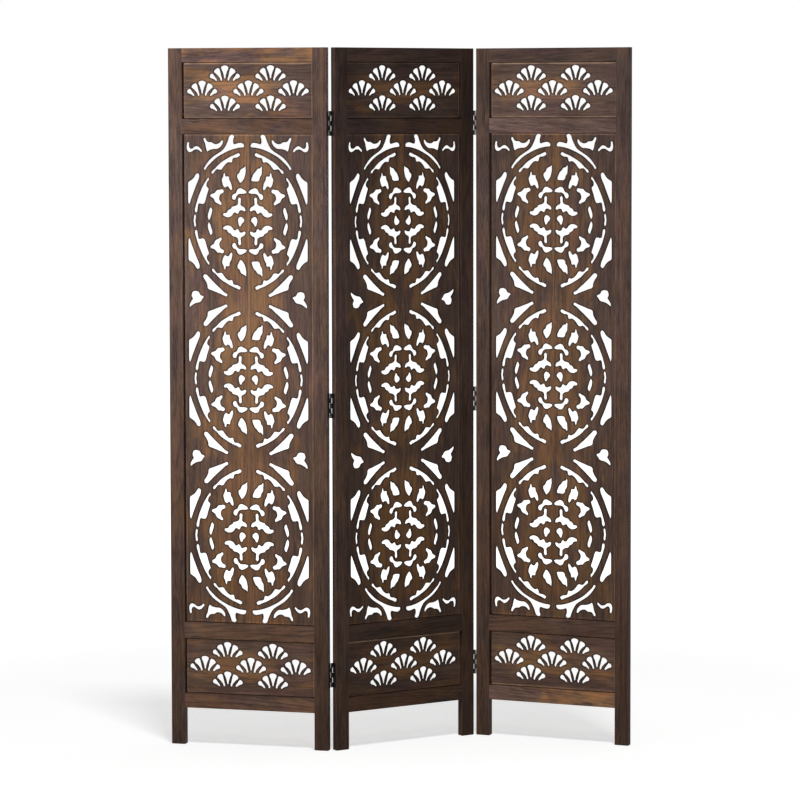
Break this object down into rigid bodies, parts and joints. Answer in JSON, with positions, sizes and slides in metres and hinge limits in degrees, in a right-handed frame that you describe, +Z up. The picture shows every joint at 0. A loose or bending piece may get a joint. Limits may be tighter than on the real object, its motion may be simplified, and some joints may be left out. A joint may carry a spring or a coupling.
{
  "type": "folding screen",
  "caption": "Free-standing room divider of narrow hinged panels: dark timber frames that hold thin pierced lattice boards of fans and leafy medallions.",
  "frame": {"origin": "on the floor, in the middle of the standing screen's footprint", "axes": "+Z up, +Y to the back, +X to the right of somebody who faces the front"},
  "size_m": [1.122, 0.2324, 1.7],
  "materials": {
    "frame": "dark brown stain, satin",
    "boards": "dark brown stain with worn amber patches, satin",
    "hinge_leaf": "dull steel",
    "hinge_pin": "plain steel",
    "screws": "plain steel"
  },
  "bodies": {
    "centre_panel": {"centre_panel_bottom_fan_board": "boards", "centre_panel_bottom_rail": "frame", "centre_panel_left_stile": "frame", "centre_panel_lower_mid_rail": "frame", "centre_panel_medallion_board": "boards", "centre_panel_right_stile": "frame", "centre_panel_top_fan_board": "boards", "centre_panel_top_rail": "frame", "centre_panel_upper_mid_rail": "frame", "left_fold_bottom_hinge_centre_leaf": "hinge_leaf", "left_fold_bottom_hinge_pin": "hinge_pin", "left_fold_centre_screws": "screws", "left_fold_middle_hinge_centre_leaf": "hinge_leaf", "left_fold_middle_hinge_pin": "hinge_pin", "left_fold_top_hinge_centre_leaf": "hinge_leaf", "left_fold_top_hinge_pin": "hinge_pin", "right_fold_bottom_hinge_centre_leaf": "hinge_leaf", "right_fold_bottom_hinge_pin": "hinge_pin", "right_fold_centre_screws": "screws", "right_fold_middle_hinge_centre_leaf": "hinge_leaf", "right_fold_middle_hinge_pin": "hinge_pin", "right_fold_top_hinge_centre_leaf": "hinge_leaf", "right_fold_top_hinge_pin": "hinge_pin"},
    "left_panel": {"left_fold_bottom_hinge_outer_leaf": "hinge_leaf", "left_fold_middle_hinge_outer_leaf": "hinge_leaf", "left_fold_outer_screws": "screws", "left_fold_top_hinge_outer_leaf": "hinge_leaf", "left_panel_bottom_fan_board": "boards", "left_panel_bottom_rail": "frame", "left_panel_left_stile": "frame", "left_panel_lower_mid_rail": "frame", "left_panel_medallion_board": "boards", "left_panel_right_stile": "frame", "left_panel_top_fan_board": "boards", "left_panel_top_rail": "frame", "left_panel_upper_mid_rail": "frame"},
    "right_panel": {"right_fold_bottom_hinge_outer_leaf": "hinge_leaf", "right_fold_middle_hinge_outer_leaf": "hinge_leaf", "right_fold_outer_screws": "screws", "right_fold_top_hinge_outer_leaf": "hinge_leaf", "right_panel_bottom_fan_board": "boards", "right_panel_bottom_rail": "frame", "right_panel_left_stile": "frame", "right_panel_lower_mid_rail": "frame", "right_panel_medallion_board": "boards", "right_panel_right_stile": "frame", "right_panel_top_fan_board": "boards", "right_panel_top_rail": "frame", "right_panel_upper_mid_rail": "frame"}
  },
  "joints": [
    {"name": "left_fold", "type": "hinge", "parent": "centre_panel", "child": "left_panel", "pos_m": [-0.16827, -0.09943, 0.85], "axis": [0, 0, 1], "range_deg": [-132, 57.9]},
    {"name": "right_fold", "type": "hinge", "parent": "centre_panel", "child": "right_panel", "pos_m": [0.18541, 0.10084, 0.85], "axis": [0, 0, 1], "range_deg": [-123.8, 66.1]}
  ]
}
